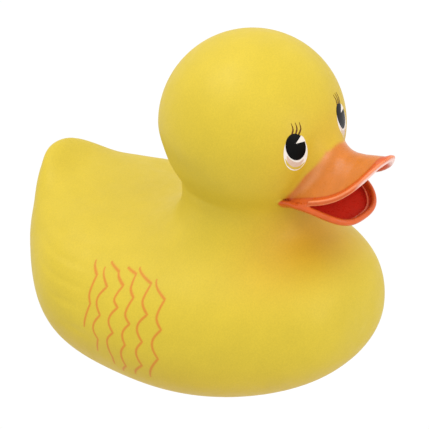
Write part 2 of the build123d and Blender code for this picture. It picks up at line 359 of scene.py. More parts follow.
def soft_union(first, second, reach):
    """Joins two distance fields with a rounded valley."""
    a, ga = first
    b, gb = second
    h = np.clip(0.5 + 0.5 * (b - a) / reach, 0, 1)
    value = b + (a - b) * h - reach * h * (1 - h)
    gradient = gb + (ga - gb) * h[:, None]
    return value, gradient


def blended_skin(p, tree, near):
    """The duck's distance field at the points marked near; the rest keep the CAD shape."""
    q = p[near]
    front = smoothstep(-36, -76, q[:, 1])
    reach = BODY_BLEND_REAR + (BODY_BLEND_FRONT - BODY_BLEND_REAR) * front
    below_head = NECK_BLEND_REAR + (NECK_BLEND_FRONT - NECK_BLEND_REAR) * front
    upper = soft_union(head_distance(q), neck_distance(q), below_head)
    return soft_union(upper, body_distance(tree, q), reach)


FEATHERS = [
    # front end and rear end of each moulded groove on the flank, y and z
    ((0, 91.5), (40, 87), (88, 87.5)),
    ((36, 77.5), (52, 78), (84, 80.5)),
    ((32, 68.5), (48, 68), (76, 70.5)),
    ((33, 58.5), (48, 57.5), (63, 58.5)),
    ((22, 42.0), (34, 42.3), (48, 43)),
]
GROOVE_DEPTH = 0.55
GROOVE_HALF_WIDTH = 1.9


def groove_depth(p):
    """How deep the faint feather grooves press into the flanks."""
    depth = np.zeros(len(p))
    for line in FEATHERS:
        y, z = np.array(line).T
        curve = np.polyfit(y, z, 2)
        off = (p[:, 2] - np.polyval(curve, p[:, 1])) / GROOVE_HALF_WIDTH
        window = smoothstep(y[0] - 4, y[0] + 14, p[:, 1]) * smoothstep(y[-1] + 8, y[-1] - 10, p[:, 1])
        shelf = np.exp(-off**2) + 0.35 * np.exp(-((off - 2.2) / 1.8) ** 2)
        depth = np.maximum(depth, shelf * window)
    side = smoothstep(28, 50, np.abs(p[:, 0]))
    return GROOVE_DEPTH * depth * side


def sculpt(p):
    """Small moves of the skin: tail end, shoulders behind the head, and the head's lower back."""
    moved = np.zeros_like(p)
    x, y, z = np.abs(p[:, 0]), p[:, 1], p[:, 2]
    tail = smoothstep(92, 122, y) * smoothstep(66, 86, z) * smoothstep(112, 100, z)
    moved[:, 1] -= 2.6 * tail
    moved[:, 2] += 2.6 * np.exp(-((y - 70) / 18) ** 2) * smoothstep(30, 52, x) * smoothstep(58, 76, z)
    moved[:, 2] -= 1.5 * np.exp(-((y - 106) / 12) ** 2) * smoothstep(86, 97, z)
    gap, way = head_distance(p)
    nape = smoothstep(2, -16, z - HEAD[2]) * smoothstep(-52, -22, y) * smoothstep(3, 0.8, np.abs(gap))
    moved -= 1.4 * nape[:, None] * way
    return moved


BACK_SMOOTHING = 70  # rounds that ease the step in the shoulders' slope


def make_skin_surface():
    """The duck's closed outer surface, neck softened and flanks grooved, and the surface of its hollow."""
    closed = join_meshes("skin", [
        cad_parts["duck_body"].data,
        ball_mesh(HEAD, HEAD_R - HEAD_SKIN_GAP),
        drum_mesh(FOOT_R - 3, 0.0, FOOT_TOP),
    ])
    mesh = remeshed(closed, SKIN_VOXEL)
    points, edges = mesh_arrays(mesh)
    points = relax(points, edges, 6)
    tree = body_only_tree()
    flat = points[:, 2] < 0.8
    for _ in range(4):
        near = (points[:, 2] > 70) & ~flat
        value, gradient = blended_skin(points, tree, near)
        length = np.maximum((gradient**2).sum(1), 0.35)
        points[near] -= (value / length)[:, None] * gradient
        low = ~near & ~flat
        value, gradient = body_distance(tree, points[low])
        points[low] -= value[:, None] * gradient
        points = relax(points, edges, 3)
        points[flat, 2] = 0.0
    shoulder = smoothstep(-30, -5, points[:, 1]) * smoothstep(52, 28, points[:, 1])
    shoulder *= smoothstep(45, 60, points[:, 2]) * smoothstep(132, 118, points[:, 2])
    for _ in range(BACK_SMOOTHING):
        points += 0.5 * shoulder[:, None] * (neighbour_mean(points, edges) - points)
    inside = points - WALL * normals_of(mesh)
    inside = relax(inside, edges, 4)
    inner = mesh.copy()
    set_points(inner, inside)
    points += sculpt(points) * ~flat[:, None]
    set_points(mesh, points)
    points -= normals_of(mesh) * groove_depth(points)[:, None]
    points[flat, 2] = 0.0
    set_points(mesh, points)
    return mesh, inner


# ---------------------------------------------------------------- the bill
UPPER_HALF_WIDTH = 27.4
UPPER_ROOT_Y = -74.0
UPPER_LENGTH = 52.4
UPPER_POWER = 2.78  # roundness of the upper bill seen from above
LOWER_HALF_WIDTH = 28.2
LOWER_ROOT_Y = -72.5
LOWER_LENGTH = 41.2
LOWER_POWER = 2.9
SHEET = 2.4
BEAD_R = 1.75
RIDGE_R = 0.7
DISH_DEPTH = 8.5
CORNER_NARROWING = 0.06  # share of the half width lost at the mouth corners
BEAD_SMOOTHING = 8  # rounds that ease the rims' beads
BILL_VOXEL = 0.5
UPPER_CREST = [  # y and z along the upper bill's middle line
    (-60, 172.0), (-80, 171.5), (-89, 171.0), (-98, 170.8), (-105, 171.0), (-111, 171.6),
    (-119, 173.3), (-125, 174.6), (-130, 175.4),
]


def half_width(s, width, power):
    """Half width of a mandible at s of its length, a little narrower at the mouth corners."""
    corner = 1 - CORNER_NARROWING * smoothstep(0.3, 0.0, s)
    return corner * width * (1 - np.clip(s, 0, 1) ** power) ** (1 / power)


def upper_rim_z(s):
    s = np.clip(s, 0, 1)
    return 139.8 + 21.9 * s - 14.5 * s**2 + 25.4 * s**4


def lower_rim_z(s):
    s = np.clip(s, 0, 1)
    return 140.6 + 13.0 * s - 21.0 * s**2


def crest_z(y):
    ys, zs = np.array(UPPER_CREST[::-1], float).T
    return np.interp(y, ys, zs)


def upper_top(s, u):
    """A point of the upper bill's outer face."""
    y = UPPER_ROOT_Y - UPPER_LENGTH * s
    rim = upper_rim_z(s)
    rise = np.maximum(crest_z(y) - rim, 0.0)
    x = u * half_width(s, UPPER_HALF_WIDTH, UPPER_POWER)
    z = rim + rise * np.cos(np.pi / 2 * np.clip(np.abs(u), 0, 1)) ** 1.1
    return np.stack([x, y + 0 * x, z], -1)


def lower_top(s, u):
    """A point of the dish inside the lower bill."""
    y = LOWER_ROOT_Y - LOWER_LENGTH * s
    x = u * half_width(s, LOWER_HALF_WIDTH, LOWER_POWER)
    depth = DISH_DEPTH * (1 - np.clip(s, 0, 1) ** 5) ** 0.7 * (1 - np.abs(u) ** 2.6) ** 0.8
    return np.stack([x, y + 0 * x, lower_rim_z(s) - depth], -1)


def sheet_mesh(surface, thickness, side):
    """A closed sheet under (side -1) or over a surface of s and u."""
    rows, columns = 70, 61
    s = np.concatenate([np.linspace(-0.5, 0, 14, endpoint=False),
                        np.sin(np.linspace(0, np.pi / 2 * 0.985, rows - 14))])
    u = np.sin(np.linspace(-np.pi / 2, np.pi / 2, columns))
    grid_s, grid_u = np.meshgrid(s, u, indexing="ij")
    outer = surface(grid_s, grid_u)
    along = np.gradient(outer, axis=0)
    across = np.gradient(outer, axis=1)
    normal = np.cross(across, along)
    normal /= np.maximum(np.linalg.norm(normal, axis=-1), 1e-9)[..., None]
    normal *= np.sign(normal[..., 2:3] + 1e-9)
    inner = outer + side * thickness * normal
    points = np.concatenate([outer.reshape(-1, 3), inner.reshape(-1, 3)])
    count = rows * columns

    def index(i, j, layer):
        return layer * count + i * columns + j

    faces = []
    for i in range(rows - 1):
        for j in range(columns - 1):
            faces.append((index(i, j, 0), index(i, j + 1, 0), index(i + 1, j + 1, 0), index(i + 1, j, 0)))
            faces.append((index(i, j, 1), index(i + 1, j, 1), index(i + 1, j + 1, 1), index(i, j + 1, 1)))
    border = [(i, 0) for i in range(rows)] + [(rows - 1, j) for j in range(1, columns)]
    border += [(i, columns - 1) for i in range(rows - 2, -1, -1)]
    border += [(0, j) for j in range(columns - 2, 0, -1)]
    for here, there in zip(border, border[1:] + border[:1]):
        faces.append((index(*here, 0), index(*there, 0), index(*there, 1), index(*here, 1)))
    return closed_mesh(points, faces)


def closed_mesh(points, faces):
    """A closed mesh with its faces turned outwards."""
    mesh = bpy.data.meshes.new("solid")
    mesh.from_pydata([tuple(p) for p in np.asarray(points) * MM], [], faces)
    work = bmesh.new()
    work.from_mesh(mesh)
    bmesh.ops.recalc_face_normals(work, faces=work.faces)
    work.to_mesh(mesh)
    work.free()
    return mesh


def tube_mesh(path, radius, sides=14):
    """A closed tube along a line of points, radius one number or one per point."""
    path = np.asarray(path, float)
    radius = np.broadcast_to(radius, len(path))
    tangent = np.gradient(path, axis=0)
    tangent /= np.linalg.norm(tangent, axis=1)[:, None]
    first = np.cross(tangent, [0.0, 0.0, 1.0])
    first /= np.maximum(np.linalg.norm(first, axis=1), 1e-6)[:, None]
    second = np.cross(first, tangent)
    angle = np.linspace(0, 2 * np.pi, sides, endpoint=False)
    ring = (np.cos(angle)[None, :, None] * first[:, None, :]
            + np.sin(angle)[None, :, None] * second[:, None, :])
    points = path[:, None, :] + radius[:, None, None] * ring
    faces = []
    for i in range(len(path) - 1):
        for j in range(sides):
            k = (j + 1) % sides
            faces.append((i * sides + j, i * sides + k, (i + 1) * sides + k, (i + 1) * sides + j))
    faces.append(tuple(range(sides)))
    faces.append(tuple((len(path) - 1) * sides + j for j in reversed(range(sides))))
    return closed_mesh(points.reshape(-1, 3), faces)


def rim_line(width, power, root_y, length, height, inset=0.0, lift=0.0, samples=161):
    """The centre line of a mandible's rim, from one mouth corner round the tip to the other."""
    t = np.linspace(0, np.pi, samples)
    s = np.sin(t) ** (2 / power)
    x = -np.sign(np.cos(t)) * np.abs(np.cos(t)) ** (2 / power)
    line = np.stack([x * (width - inset), root_y - s * (length - inset), height(s) + lift], -1)
    tail = np.array([[0.0, 12.0, 0.0], [0.0, 6.0, 0.0]])
    return np.concatenate([line[:1] + tail, line, line[-1:] + tail[::-1]])


def upper_rim(inset=0.0, lift=0.0):
    return rim_line(UPPER_HALF_WIDTH, UPPER_POWER, UPPER_ROOT_Y, UPPER_LENGTH, upper_rim_z, inset, lift)


def lower_rim(inset=0.0, lift=0.0):
    return rim_line(LOWER_HALF_WIDTH, LOWER_POWER, LOWER_ROOT_Y, LOWER_LENGTH, lower_rim_z, inset, lift)


def distance_to_line(points, line):
    """Distance of each point from a polyline's points."""
    best = np.full(len(points), 1e9)
    for p in line:
        best = np.minimum(best, ((points - p) ** 2).sum(1))
    return np.sqrt(best)


CREST_FILLET = 17.0  # reach of the soft join of forehead and bill, at the middle
SIDE_FILLET = 5.0  # and at the cheeks


def sheet_tree():
    """A search tree of the plain upper bill, in millimetres."""
    work = bmesh.new()
    work.from_mesh(sheet_mesh(upper_top, SHEET, -1))
    bmesh.ops.scale(work, verts=work.verts, vec=Vector((1, 1, 1)) / MM)
    if work.calc_volume(signed=True) < 0:
        bmesh.ops.reverse_faces(work, faces=work.faces)
    tree = BVHTree.FromBMesh(work)
    work.free()
    return tree


def fillet_step(p, tree):
    """How far each point moves to the softened join of forehead and bill."""
    s = np.clip((UPPER_ROOT_Y - p[:, 1]) / UPPER_LENGTH, -0.5, 1)
    u = p[:, 0] / np.maximum(half_width(s, UPPER_HALF_WIDTH, UPPER_POWER), 1e-3)
    surface = upper_top(s, np.clip(u, -1, 1))[:, 2]
    head, way = head_distance(p)
    near = (p[:, 2] > surface - 0.9) & (head < 14) & (head > -1.5) & (p[:, 1] < -60)
    near &= (p[:, 2] > 143) & (np.abs(p[:, 0]) < 40)
    q = p[near]
    sheet = body_distance(tree, q)
    crest = smoothstep(150, 168, q[:, 2]) * smoothstep(30, 9, np.abs(q[:, 0]))
    reach = SIDE_FILLET + (CREST_FILLET - SIDE_FILLET) * crest
    value, gradient = soft_union((head[near], way[near]), sheet, reach)
    length = np.maximum((gradient**2).sum(1), 0.35)
    value = np.clip(value, -7, 7)
    moved = np.zeros_like(p)
    moved[near] = -(value / length)[:, None] * gradient
    return moved


def bead_radius(line):
    """The rim's bead is thinner at the mouth corners."""
    return BEAD_R * (0.66 + 0.34 * smoothstep(-74, -92, line[:, 1]))


def ridge_mesh(line):
    """A fine ridge along a rim, which fades out at the mouth corners."""
    return tube_mesh(line, RIDGE_R * (0.25 + 0.75 * smoothstep(-78, -94, line[:, 1])))


def make_bill_mesh():
    """Both mandibles with their beaded rims, in one closed surface."""
    whole = join_meshes("bill_solids", [
        sheet_mesh(upper_top, SHEET, -1),
        sheet_mesh(lower_top, 2.0, -1),
        tube_mesh(upper_rim(), bead_radius(upper_rim())),
        ridge_mesh(upper_rim(-1.25, 1.15)),
        ridge_mesh(upper_rim(-0.75, -1.5)),
        tube_mesh(lower_rim(), bead_radius(lower_rim())),
        ridge_mesh(lower_rim(3.4, -0.7)),
        ball_patch_mesh(),
    ])
    mesh = remeshed(whole, BILL_VOXEL)
    points, edges = mesh_arrays(mesh)
    points = relax(points, edges, 2, 0.4)
    rims = np.minimum(distance_to_line(points, upper_rim()), distance_to_line(points, lower_rim()))
    beads = smoothstep(5.0, 3.5, rims)
    for _ in range(BEAD_SMOOTHING):
        points += 0.5 * beads[:, None] * (neighbour_mean(points, edges) - points)
    root = smoothstep(5.5, 1.5, head_distance(points)[0])
    for _ in range(12):
        points += 0.5 * root[:, None] * (neighbour_mean(points, edges) - points)
    tree = sheet_tree()
    for _ in range(3):
        points += fillet_step(points, tree)
        root = smoothstep(9, 5, head_distance(points)[0]) * smoothstep(146, 150, points[:, 2])
        for _ in range(3):
            points += 0.5 * root[:, None] * (neighbour_mean(points, edges) - points)
    set_points(mesh, points)
    on_root = smoothstep(3, 1, np.abs(head_distance(points)[0]))
    points += normals_of(mesh) * (0.3 * on_root * root_paint(points, 1.0))[:, None]
    set_points(mesh, points)
    return mesh


def ball_patch_mesh():
    """A slab of the head's sphere behind the bill, for the bill to grow out of."""
    rings, sides = 24, 64
    ahead = np.array([0.0, -0.935, -0.355])
    ahead /= np.linalg.norm(ahead)
    right = np.array([1.0, 0.0, 0.0])
    above = np.cross(ahead, right)
    points = []
    for radius in (HEAD_R - 0.12, HEAD_R - 4.5):
        for i in range(1, rings + 1):
            tilt = math.radians(40) * i / rings
            for j in range(sides):
                turn = 2 * math.pi * j / sides
                way = ahead * math.cos(tilt)
                way = way + math.sin(tilt) * (right * math.cos(turn) + above * math.sin(turn))
                points.append(HEAD + radius * way)
        points.append(HEAD + radius * ahead)
    faces = []
    count = rings * sides + 1
    for layer in (0, 1):
        base = layer * count
        for i in range(rings - 1):
            for j in range(sides):
                k = (j + 1) % sides
                a, b = base + i * sides, base + (i + 1) * sides
                faces.append((a + j, a + k, b + k, b + j))
        for j in range(sides):
            faces.append((base + count - 1, base + j, base + (j + 1) % sides))
    last = (rings - 1) * sides
    for j in range(sides):
        k = (j + 1) % sides
        faces.append((last + j, last + k, count + last + k, count + last + j))
    return closed_mesh(points, faces)


# ---------------------------------------------------------------- colours
YELLOW = srgb(195, 171, 45)
# painted shade: a warmer, darker yellow for the skin low down, under the bill and round the face
YELLOW_PAINTED_SHADE = srgb(197, 151, 32)
BILL_FACE = srgb(193, 110, 34)
BILL_RIM = srgb(202, 80, 28)
# painted shade for the groove between the upper bill's face and its bead
BILL_CREASE_PAINTED_SHADE = srgb(176, 58, 22)
MOUTH_RED = srgb(206, 50, 32)
# painted reflection of the white floor under the upper bill's tip
TIP_PAINTED_REFLECTION = srgb(236, 204, 194)
# painted highlight along the bill's face near its root
FACE_PAINTED_HIGHLIGHT = srgb(216, 150, 100)
# painted highlights on the rims' fine ridges
RIDGE_PAINTED_HIGHLIGHT = srgb(232, 150, 104)
STROKE_ORANGE = srgb(196, 122, 36)
EYE_WHITE = srgb(222, 214, 204)
EYE_PINK = srgb(200, 172, 152)
PUPIL_BLACK = srgb(10, 9, 8)
LASH_BROWN = srgb(92, 52, 16)

# half width of the painted patch on the head at each height, for both mandibles
ROOT_OUTLINE = [
    (126.0, 0.0), (128.0, 12.0), (131.0, 19.5), (135.0, 24.0), (138.0, 26.0), (141.5, 26.8),
    (145.0, 26.4), (150.0, 24.3), (158.0, 20.8), (164.7, 16.4), (169.0, 13.0), (171.5, 10.5),
    (175.0, 7.0),
]


ROOT_TOP = 172.4  # and where the patch ends above the crest


def mix(first, second, amount):
    return first + (second - first) * np.asarray(amount)[:, None]


def root_paint(points, spill=0.0):
    """1 where the head is painted for the bill, 0 outside, with a feathered edge; spill widens it."""
    z, w = np.array(ROOT_OUTLINE).T
    inside = np.interp(points[:, 2], z, w, left=-6, right=-6) - np.abs(points[:, 0])
    inside = np.minimum(inside, (ROOT_TOP - points[:, 2]) * 1.2)
    front = points[:, 1] < -55
    return smoothstep(-1.3 - spill, 1.3 - spill, inside * 0.75) * front


def skin_yellow_with_painted_shade(points):
    """Yellow vinyl with painted shade: warmer and darker low down, on the breast under the bill and round the
    face.
    """
    # painted shade low down, on the breast under the bill and round the face
    low = smoothstep(55, 5, points[:, 2])
    spread = (points - np.array([0.0, -76.0, 108.0])) / np.array([58.0, 27.0, 24.0])
    under_bill_painted_shade = np.exp(-(spread**2).sum(1))
    spread = (points - np.array([0.0, -86.0, 158.0])) / np.array([46.0, 40.0, 34.0])
    face = np.exp(-(spread**2).sum(1))
    painted_shade = np.clip(0.4 * low + 0.85 * under_bill_painted_shade + 0.75 * face, 0, 1)
    return mix(np.tile(YELLOW, (len(points), 1)), YELLOW_PAINTED_SHADE, painted_shade)


def bill_colours(points, normals):
    """Orange faces, redder rims, a red mouth, painted shade in the upper rim's groove, painted highlights on
    the ridges and along the root, and a pale painted reflection of the floor under the tip; and how bare of
    it each point is.
    """
    count = len(points)
    colours = np.tile(BILL_FACE, (count, 1))
    s = np.clip((UPPER_ROOT_Y - points[:, 1]) / UPPER_LENGTH, 0, 1)
    u = points[:, 0] / np.maximum(half_width(s, UPPER_HALF_WIDTH, UPPER_POWER), 1e-3)
    middle = upper_top(s, np.clip(u, -1, 1))[:, 2] - SHEET / 2
    s2 = np.clip((LOWER_ROOT_Y - points[:, 1]) / LOWER_LENGTH, 0, 1)
    u2 = points[:, 0] / np.maximum(half_width(s2, LOWER_HALF_WIDTH, LOWER_POWER), 1e-3)
    dish = lower_top(s2, np.clip(u2, -1, 1))[:, 2] - 1.0
    to_upper = distance_to_line(points, upper_rim())
    to_lower = distance_to_line(points, lower_rim())
    under = smoothstep(0.4, -0.4, points[:, 2] - middle)
    over = smoothstep(-0.4, 0.4, points[:, 2] - dish)
    near_rim = smoothstep(2.9, 2.2, np.minimum(to_upper, to_lower))
    mouth = under * over
    colours = mix(colours, BILL_RIM, 0.8 * near_rim)
    below = smoothstep(0.4, -0.4, points[:, 2] - dish)
    colours = mix(colours, BILL_RIM, 0.6 * below)
    colours = mix(colours, MOUTH_RED, mouth * (1 - near_rim))
    # painted shade in the groove above the upper rim's bead
    crease_painted_shade = np.exp(-((to_upper - 2.75) / 0.5) ** 2) * (1 - under)
    colours = mix(colours, BILL_CREASE_PAINTED_SHADE, 0.7 * crease_painted_shade)
    # painted highlights along the upper rim's two fine ridges
    ridges = np.minimum(distance_to_line(points, upper_rim(-1.25, 1.15)),
                        distance_to_line(points, upper_rim(-0.75, -1.5)))
    fade = smoothstep(-80, -96, points[:, 1])
    colours = mix(colours, RIDGE_PAINTED_HIGHLIGHT, 0.6 * fade * smoothstep(0.85, 0.5, ridges))
    # painted highlight along the inner ridge of the lower rim
    inner = distance_to_line(points, lower_rim(3.4, -0.7))
    colours = mix(colours, RIDGE_PAINTED_HIGHLIGHT, 0.45 * fade * smoothstep(1.0, 0.6, inner))
    # painted reflection: the underside of the upper bill's tip turns pale
    tip = smoothstep(-119, -124, points[:, 1]) * smoothstep(0.1, -0.3, normals[:, 2])
    colours = mix(colours, TIP_PAINTED_REFLECTION, 0.85 * tip)
    off_head = head_distance(points)[0]
    # painted highlight: a pale band on the bill's face a few millimetres from the head
    painted_sheen = np.exp(-((off_head - 4.6) / 2.4) ** 2) * (1 - under) * (1 - near_rim)
    painted_sheen *= smoothstep(144, 152, points[:, 2]) * smoothstep(3, 9, np.abs(points[:, 0]))
    colours = mix(colours, FACE_PAINTED_HIGHLIGHT, 0.4 * painted_sheen)
    reach = 1.4 + 5.0 * smoothstep(30, 9, np.abs(points[:, 0])) * smoothstep(156, 168, points[:, 2])
    on_head = smoothstep(1.0, 0.6, head_distance(points)[0] / reach)
    bare = on_head * (1 - root_paint(points))
    return mix(colours, skin_yellow_with_painted_shade(points), bare), bare


def skin_colours(points):
    """The skin's yellow with its painted shade, painted red inside the mouth."""
    side = np.clip(np.abs(points[:, 0]) / 28, 0, 1)
    floor_z = 141.5 - 7.5 * (1 - side**2.6) ** 0.8
    mouth = root_paint(points, -1.5) * smoothstep(0, 1, points[:, 2] - floor_z)
    return mix(skin_yellow_with_painted_shade(points), MOUTH_RED, mouth)


# ---------------------------------------------------------------- materials
def node_material(name):
    """A new node material, its tree and its main shader."""
    material = bpy.data.materials.new(name)
    material.use_nodes = True
    tree = material.node_tree
    return material, tree, tree.nodes["Principled BSDF"]


def noise(tree, scale, detail=3.0, roughness=0.55):
    """Noise over the object's own coordinates, scale per metre."""
    place = tree.nodes.new("ShaderNodeTexCoord")
    made = tree.nodes.new("ShaderNodeTexNoise")
    made.inputs["Scale"].default_value = scale
    made.inputs["Detail"].default_value = detail
    made.inputs["Roughness"].default_value = roughness
    tree.links.new(place.outputs["Object"], made.inputs["Vector"])
    return made


def ramp(tree, source, low, high, from_low=0.35, from_high=0.65):
    """Maps a noise value to a range."""
    made = tree.nodes.new("ShaderNodeMapRange")
    made.inputs["From Min"].default_value = from_low
    made.inputs["From Max"].default_value = from_high
    made.inputs["To Min"].default_value = low
    made.inputs["To Max"].default_value = high
    tree.links.new(source.outputs["Fac"], made.inputs["Value"])
    return made


def varied_colour(tree, colour, first, second, low, high, mottle_scale):
    """Multiplies a colour by two sizes of gentle noise."""
    for made_noise, spread in ((noise(tree, mottle_scale), (low, high)), (first, second)):
        scale = ramp(tree, made_noise, *spread)
        mixer = tree.nodes.new("ShaderNodeMix")
        mixer.data_type = "RGBA"
        mixer.blend_type = "MULTIPLY"
        mixer.inputs["Factor"].default_value = 1.0
        if hasattr(colour, "is_linked"):
            tree.links.new(colour, mixer.inputs["A"])
        else:
            mixer.inputs["A"].default_value = (*colour, 1.0)
        tree.links.new(scale.outputs["Result"], mixer.inputs["B"])
        colour = mixer.outputs["Result"]
    return colour


def add_bump(tree, shader, source, strength, distance):
    """A fine surface texture in millimetres."""
    bump = tree.nodes.new("ShaderNodeBump")
    bump.inputs["Strength"].default_value = strength
    bump.inputs["Distance"].default_value = distance * MM
    tree.links.new(source.outputs["Fac"], bump.inputs["Height"])
    tree.links.new(bump.outputs["Normal"], shader.inputs["Normal"])


def material(name, colour, roughness, grain=900.0, bump=0.05, mottle=(0.94, 1.05), fleck=(0.97, 1.03),
             mottle_scale=60.0, specular=0.4, painted=False, rough_spread=0.08):
    """A moulded, painted or metal finish with a fine grain; painted reads the mesh's own colours."""
    made, tree, shader = node_material(name)
    if painted:
        colour_node = tree.nodes.new("ShaderNodeVertexColor")
        colour_node.layer_name = "paint"
        colour = colour_node.outputs["Color"]
    grain_noise = noise(tree, grain, 2.0)
    tint = varied_colour(tree, colour, grain_noise, fleck, *mottle, mottle_scale)
    tree.links.new(tint, shader.inputs["Base Color"])
    half = rough_spread / 2
    rough = ramp(tree, noise(tree, mottle_scale * 3), roughness - half, roughness + half)
    tree.links.new(rough.outputs["Result"], shader.inputs["Roughness"])
    shader.inputs["Specular IOR Level"].default_value = specular
    add_bump(tree, shader, grain_noise, 0.5, bump)
    return made


def brushed_steel(name, colour, roughness):
    """Turned steel, with fine rings about the dispenser's axis."""
    made, tree, shader = node_material(name)
    place = tree.nodes.new("ShaderNodeTexCoord")
    shift = tree.nodes.new("ShaderNodeMapping")
    shift.inputs["Location"].default_value = (-AXIS[0] * MM, -AXIS[1] * MM, 0.0)
    wave = tree.nodes.new("ShaderNodeTexWave")
    wave.wave_type = "RINGS"
    wave.rings_direction = "Z"
    wave.inputs["Scale"].default_value = 900.0
    wave.inputs["Distortion"].default_value = 1.5
    wave.inputs["Detail"].default_value = 3.0
    tree.links.new(place.outputs["Object"], shift.inputs["Vector"])
    tree.links.new(shift.outputs["Vector"], wave.inputs["Vector"])
    tint = varied_colour(tree, colour, wave, (0.9, 1.05), 0.9, 1.05, 120.0)
    tree.links.new(tint, shader.inputs["Base Color"])
    rough = ramp(tree, wave, roughness - 0.06, roughness + 0.08, 0.0, 1.0)
    tree.links.new(rough.outputs["Result"], shader.inputs["Roughness"])
    shader.inputs["Metallic"].default_value = 1.0
    add_bump(tree, shader, wave, 0.3, 0.02)
    return made


duck_vinyl = material("duck_vinyl", None, 0.5, grain=1100, bump=0.05, mottle=(0.975, 1.02),
                      fleck=(0.955, 1.035), mottle_scale=45, specular=0.26, painted=True)
bill_vinyl = material("bill_vinyl", None, 0.3, grain=1300, bump=0.035, mottle=(0.95, 1.04),
                      fleck=(0.96, 1.03), mottle_scale=160, specular=0.3, painted=True)
eye_white_paint = material("eye_white_paint", tuple(EYE_WHITE), 0.35, bump=0.02)
eye_pink_paint = material("eye_pink_paint", tuple(EYE_PINK), 0.4, bump=0.02)
eye_gap_paint = material("eye_gap_paint", tuple(srgb(196, 166, 62)), 0.45, bump=0.02)
pupil_paint = material("pupil_paint", tuple(PUPIL_BLACK), 0.3, bump=0.02, mottle=(0.8, 1.3), specular=0.06)
lash_paint = material("lash_paint", tuple(LASH_BROWN), 0.45, bump=0.02, mottle=(0.8, 1.2), specular=0.1)
housing_plastic = material("housing_plastic", tuple(srgb(226, 230, 232)), 0.42, grain=1500, bump=0.03)
cup_plastic = material("cup_plastic", tuple(srgb(206, 222, 232)), 0.38, grain=1500, bump=0.03)
dial_plastic = material("dial_plastic", tuple(srgb(38, 122, 178)), 0.4, grain=1500, bump=0.03)
lock_plastic = material("lock_plastic", tuple(srgb(60, 66, 72)), 0.45, grain=1500, bump=0.03)
seal_rubber = material("seal_rubber", tuple(srgb(46, 46, 48)), 0.62, grain=1800, bump=0.05)
ballast_steel = brushed_steel("ballast_steel", tuple(srgb(176, 178, 180)), 0.36)
screw_steel = brushed_steel("screw_steel", tuple(srgb(196, 198, 200)), 0.26)
tablet_chalk = material("tablet_chalk", tuple(srgb(240, 240, 234)), 0.85, grain=700, bump=0.25,
                        mottle=(0.93, 1.03), fleck=(0.9, 1.04), mottle_scale=220)

NODE_MATERIALS = {
    "base_housing": housing_plastic,
    "flange_gasket": seal_rubber,
    "ballast_clamp_left": ballast_steel,
    "ballast_clamp_right": ballast_steel,
    "clamp_screws": screw_steel,
    "lock_slider": lock_plastic,
    "tablet_cup": cup_plastic,
    "cup_gasket": seal_rubber,
    "flow_dial": dial_plastic,
    "dial_rivet": lock_plastic,
    "dial_washer": dial_plastic,
    "chlorine_tablet_lower": tablet_chalk,
    "chlorine_tablet_upper": tablet_chalk,
    "duck_body": housing_plastic,
    "bill": housing_plastic,
}
for node_name, node_finish in NODE_MATERIALS.items():
    cad_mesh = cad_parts[node_name].data
    cad_mesh.materials.clear()
    cad_mesh.materials.append(node_finish)


# ---------------------------------------------------------------- the duck's pieces
def finish_piece(made, node, finish):
    """Gives a piece its finish and its place in the frame; node is what it stands for, if anything."""
    made.data.materials.clear()
    made.data.materials.append(finish)
    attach(made, "float")
    if node:
        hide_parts(node)
    return made


def hollow_skin(surface, inner):
    """The vinyl skin: the outer surface, hollow, with the base's recess and opening."""
    outer = bpy.data.objects.new("duck_skin", surface)
    bpy.context.scene.collection.objects.link(outer)
    hollow = bpy.data.objects.new("hollow", inner)
    bpy.context.scene.collection.objects.link(hollow)
    hollow = cut(hollow, drum_mesh(FOOT_R, -5.0, FOOT_TOP, 192))
    hollow_mesh = hollow.data
    bpy.data.objects.remove(hollow)
    return cut(outer, hollow_mesh, drum_mesh(RECESS_R, -5.0, GASKET_TOP, 192),
               drum_mesh(OPENING_R, -5.0, 40.0, 192))


def make_duck_skin():
    made = hollow_skin(*make_skin_surface())
    points, _ = mesh_arrays(made.data)
    paint(made.data, "paint", skin_colours(points))
    shade_smooth(made.data, 40)
    return finish_piece(made, "duck_body", duck_vinyl)


def make_bill():
    mesh = make_bill_mesh()
    points, _ = mesh_arrays(mesh)
    colours, bare = bill_colours(points, normals_of(mesh))
    paint(mesh, "paint", colours)
    shade_smooth(mesh)
    made = bpy.data.objects.new("bill_painted", mesh)
    bpy.context.scene.collection.objects.link(made)
    finish_piece(made, "bill", bill_vinyl)
    mesh.materials.append(duck_vinyl)
    corners = np.empty(4 * len(mesh.polygons), dtype=int)
    mesh.polygons.foreach_get("vertices", corners)
    unpainted = bare[corners].reshape(-1, 4).mean(1) > 0.5
    mesh.polygons.foreach_set("material_index", unpainted.astype(int))
    return made


duck_skin = make_duck_skin()
bill_painted = make_bill()


def skin_tree():
    """A search tree of the finished skin and bill, for the paint to lie on."""
    points, faces = [], []
    for part in (duck_skin, bill_painted):
        start = len(points)
        points += [Vector(p) for p in mesh_arrays(part.data)[0]]
        faces += [tuple(start + v for v in p.vertices) for p in part.data.polygons]
    return BVHTree.FromPolygons(points, faces)


skin_bvh = skin_tree()

# ---------------------------------------------------------------- painted eyes
EYE_AZIMUTH = {-1.0: 27.4, 1.0: 18.0}  # the painted eyes aren't quite a mirrored pair
EYE_ELEVATION = {-1.0: 5.3, 1.0: 9.6}


